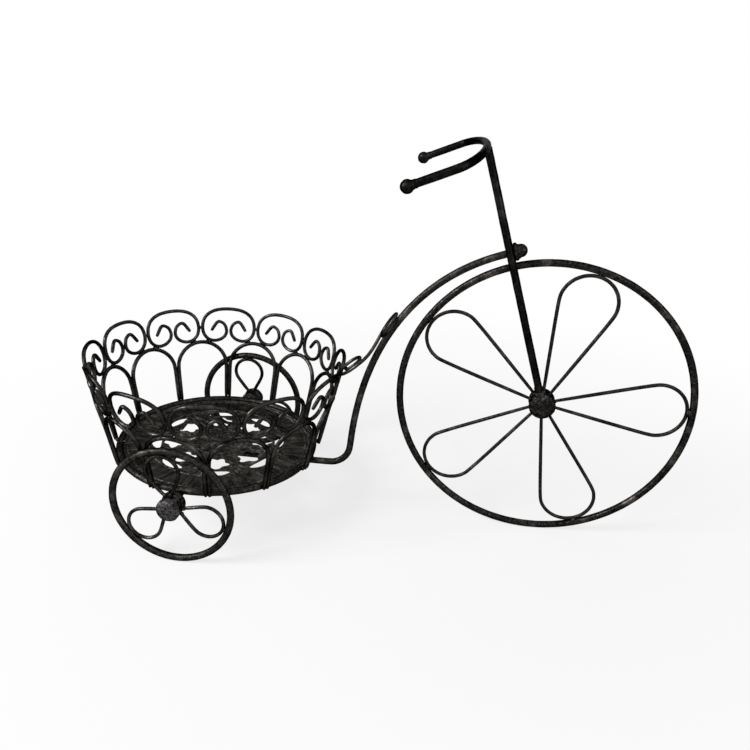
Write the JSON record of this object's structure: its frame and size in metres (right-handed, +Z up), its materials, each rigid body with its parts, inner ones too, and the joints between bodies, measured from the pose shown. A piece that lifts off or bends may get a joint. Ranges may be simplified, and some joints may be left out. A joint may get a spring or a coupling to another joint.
{
  "type": "bicycle planter",
  "caption": "Wrought-iron tricycle planter with a scrolled wire basket on its rear axle, an openwork tray and wheels that turn.",
  "frame": {"origin": "centre of the planter's bounding box, at floor level", "axes": "+X forward from the basket to the front wheel, +Y to the left, +Z up"},
  "size_m": [0.5586, 0.2444, 0.358],
  "materials": {
    "black_paint": "satin black paint on round iron bar and wire",
    "worn_paint": "satin charcoal paint, a little worn and brownish",
    "hammered_paint": "satin black paint on hammered iron"
  },
  "bodies": {
    "planter": {"base_ring": "black_paint", "basket_arch_01": "black_paint", "basket_arch_02": "black_paint", "basket_arch_03": "black_paint", "basket_arch_04": "black_paint", "basket_arch_05": "black_paint", "basket_arch_06": "black_paint", "basket_arch_07": "black_paint", "basket_arch_08": "black_paint", "basket_arch_09": "black_paint", "basket_arch_10": "black_paint", "basket_arch_11": "black_paint", "basket_arch_12": "black_paint", "basket_scroll_01": "black_paint", "basket_scroll_02": "black_paint", "basket_scroll_03": "black_paint", "basket_scroll_04": "black_paint", "basket_scroll_05": "black_paint", "basket_scroll_06": "black_paint", "basket_scroll_07": "black_paint", "basket_scroll_08": "black_paint", "basket_scroll_09": "black_paint", "basket_scroll_10": "black_paint", "basket_scroll_11": "black_paint", "basket_scroll_12": "black_paint", "fork_leg_left": "black_paint", "fork_leg_right": "black_paint", "frame_rod": "black_paint", "front_axle": "black_paint", "front_hub_cap_left": "hammered_paint", "front_hub_cap_right": "hammered_paint", "handlebar": "black_paint", "handlebar_knob_left": "black_paint", "handlebar_knob_right": "black_paint", "head_ball_nut": "black_paint", "head_washer": "hammered_paint", "rear_axle": "black_paint", "rear_left_inner_cap": "hammered_paint", "rear_left_outer_cap": "hammered_paint", "rear_right_inner_cap": "hammered_paint", "rear_right_outer_cap": "hammered_paint", "scroll_brace": "worn_paint", "tray": "worn_paint"},
    "front_wheel": {"front_hub": "hammered_paint", "front_petal_1": "worn_paint", "front_petal_2": "worn_paint", "front_petal_3": "worn_paint", "front_petal_4": "worn_paint", "front_petal_5": "worn_paint", "front_rim": "black_paint"},
    "rear_right_wheel": {"rear_right_hub": "hammered_paint", "rear_right_petal_1": "worn_paint", "rear_right_petal_2": "worn_paint", "rear_right_petal_3": "worn_paint", "rear_right_rim": "black_paint"},
    "rear_left_wheel": {"rear_left_hub": "hammered_paint", "rear_left_petal_1": "worn_paint", "rear_left_petal_2": "worn_paint", "rear_left_petal_3": "worn_paint", "rear_left_rim": "black_paint"}
  },
  "joints": [
    {"name": "front_wheel_spin", "type": "hinge", "parent": "planter", "child": "front_wheel", "pos_m": [0.14657, 0, 0.13276], "axis": [0, 1, 0], "continuous": true},
    {"name": "rear_right_wheel_spin", "type": "hinge", "parent": "planter", "child": "rear_right_wheel", "pos_m": [-0.16732, -0.11124, 0.05716], "axis": [0, 1, 0], "continuous": true},
    {"name": "rear_left_wheel_spin", "type": "hinge", "parent": "planter", "child": "rear_left_wheel", "pos_m": [-0.16732, 0.11124, 0.05716], "axis": [0, 1, 0], "continuous": true}
  ]
}
